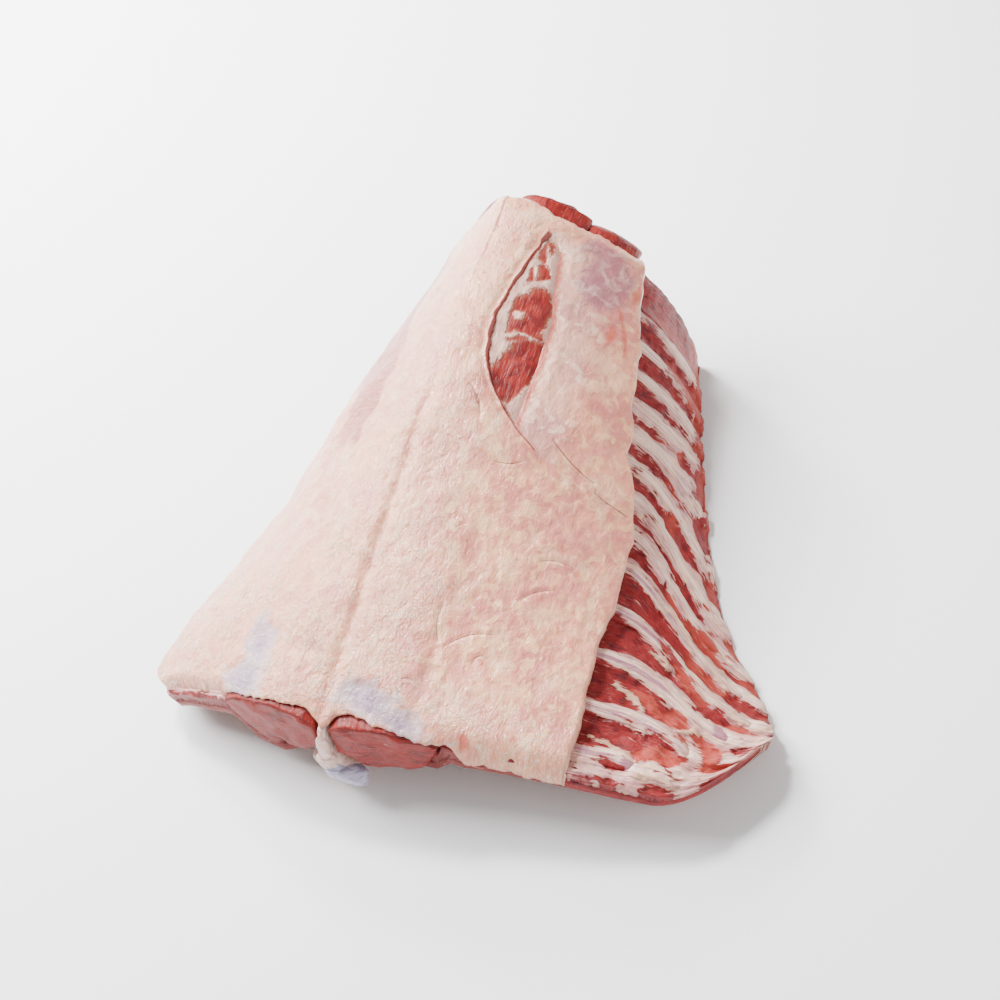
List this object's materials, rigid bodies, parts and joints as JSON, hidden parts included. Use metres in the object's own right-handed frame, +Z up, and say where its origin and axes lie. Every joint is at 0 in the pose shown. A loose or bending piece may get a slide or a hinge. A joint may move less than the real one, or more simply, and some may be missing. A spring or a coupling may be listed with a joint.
{
  "type": "raw lamb rib rack",
  "caption": "Whole raw lamb rib rack, unsplit: both eye muscles and both rows of ribs on one backbone under a sheet of fat, lying arched on its rib ends.",
  "frame": {"origin": "middle of the bounding box's underside, on the table", "axes": "+Z up; +Y along the backbone from the loin end to the shoulder end; +X towards the flank that is trimmed back to bare ribs"},
  "size_m": [0.3582, 0.3554, 0.1315],
  "materials": {
    "fat": "moist, soft gloss",
    "eye_muscle": "moist, soft gloss",
    "rib_meat": "moist, soft gloss",
    "shoulder_meat": "moist, soft gloss",
    "rib_bone": "moist bone under a thin membrane",
    "backbone": "moist bone and cartilage"
  },
  "bodies": {
    "root": {"fat_cover": "fat", "backbone": "backbone", "loin_left": "eye_muscle", "rib_meat_left": "rib_meat", "shoulder_meat_left": "shoulder_meat", "rib_left_01": "rib_bone", "rib_left_02": "rib_bone", "rib_left_03": "rib_bone", "rib_left_04": "rib_bone", "rib_left_05": "rib_bone", "rib_left_06": "rib_bone", "rib_left_07": "rib_bone", "rib_left_08": "rib_bone", "rib_left_09": "rib_bone", "rib_left_10": "rib_bone", "rib_left_11": "rib_bone", "rib_left_12": "rib_bone", "rib_left_13": "rib_bone", "loin_right": "eye_muscle", "rib_meat_right": "rib_meat", "shoulder_meat_right": "shoulder_meat", "rib_right_01": "rib_bone", "rib_right_02": "rib_bone", "rib_right_03": "rib_bone", "rib_right_04": "rib_bone", "rib_right_05": "rib_bone", "rib_right_06": "rib_bone", "rib_right_07": "rib_bone", "rib_right_08": "rib_bone", "rib_right_09": "rib_bone", "rib_right_10": "rib_bone", "rib_right_11": "rib_bone", "rib_right_12": "rib_bone", "rib_right_13": "rib_bone"}
  },
  "joints": []
}
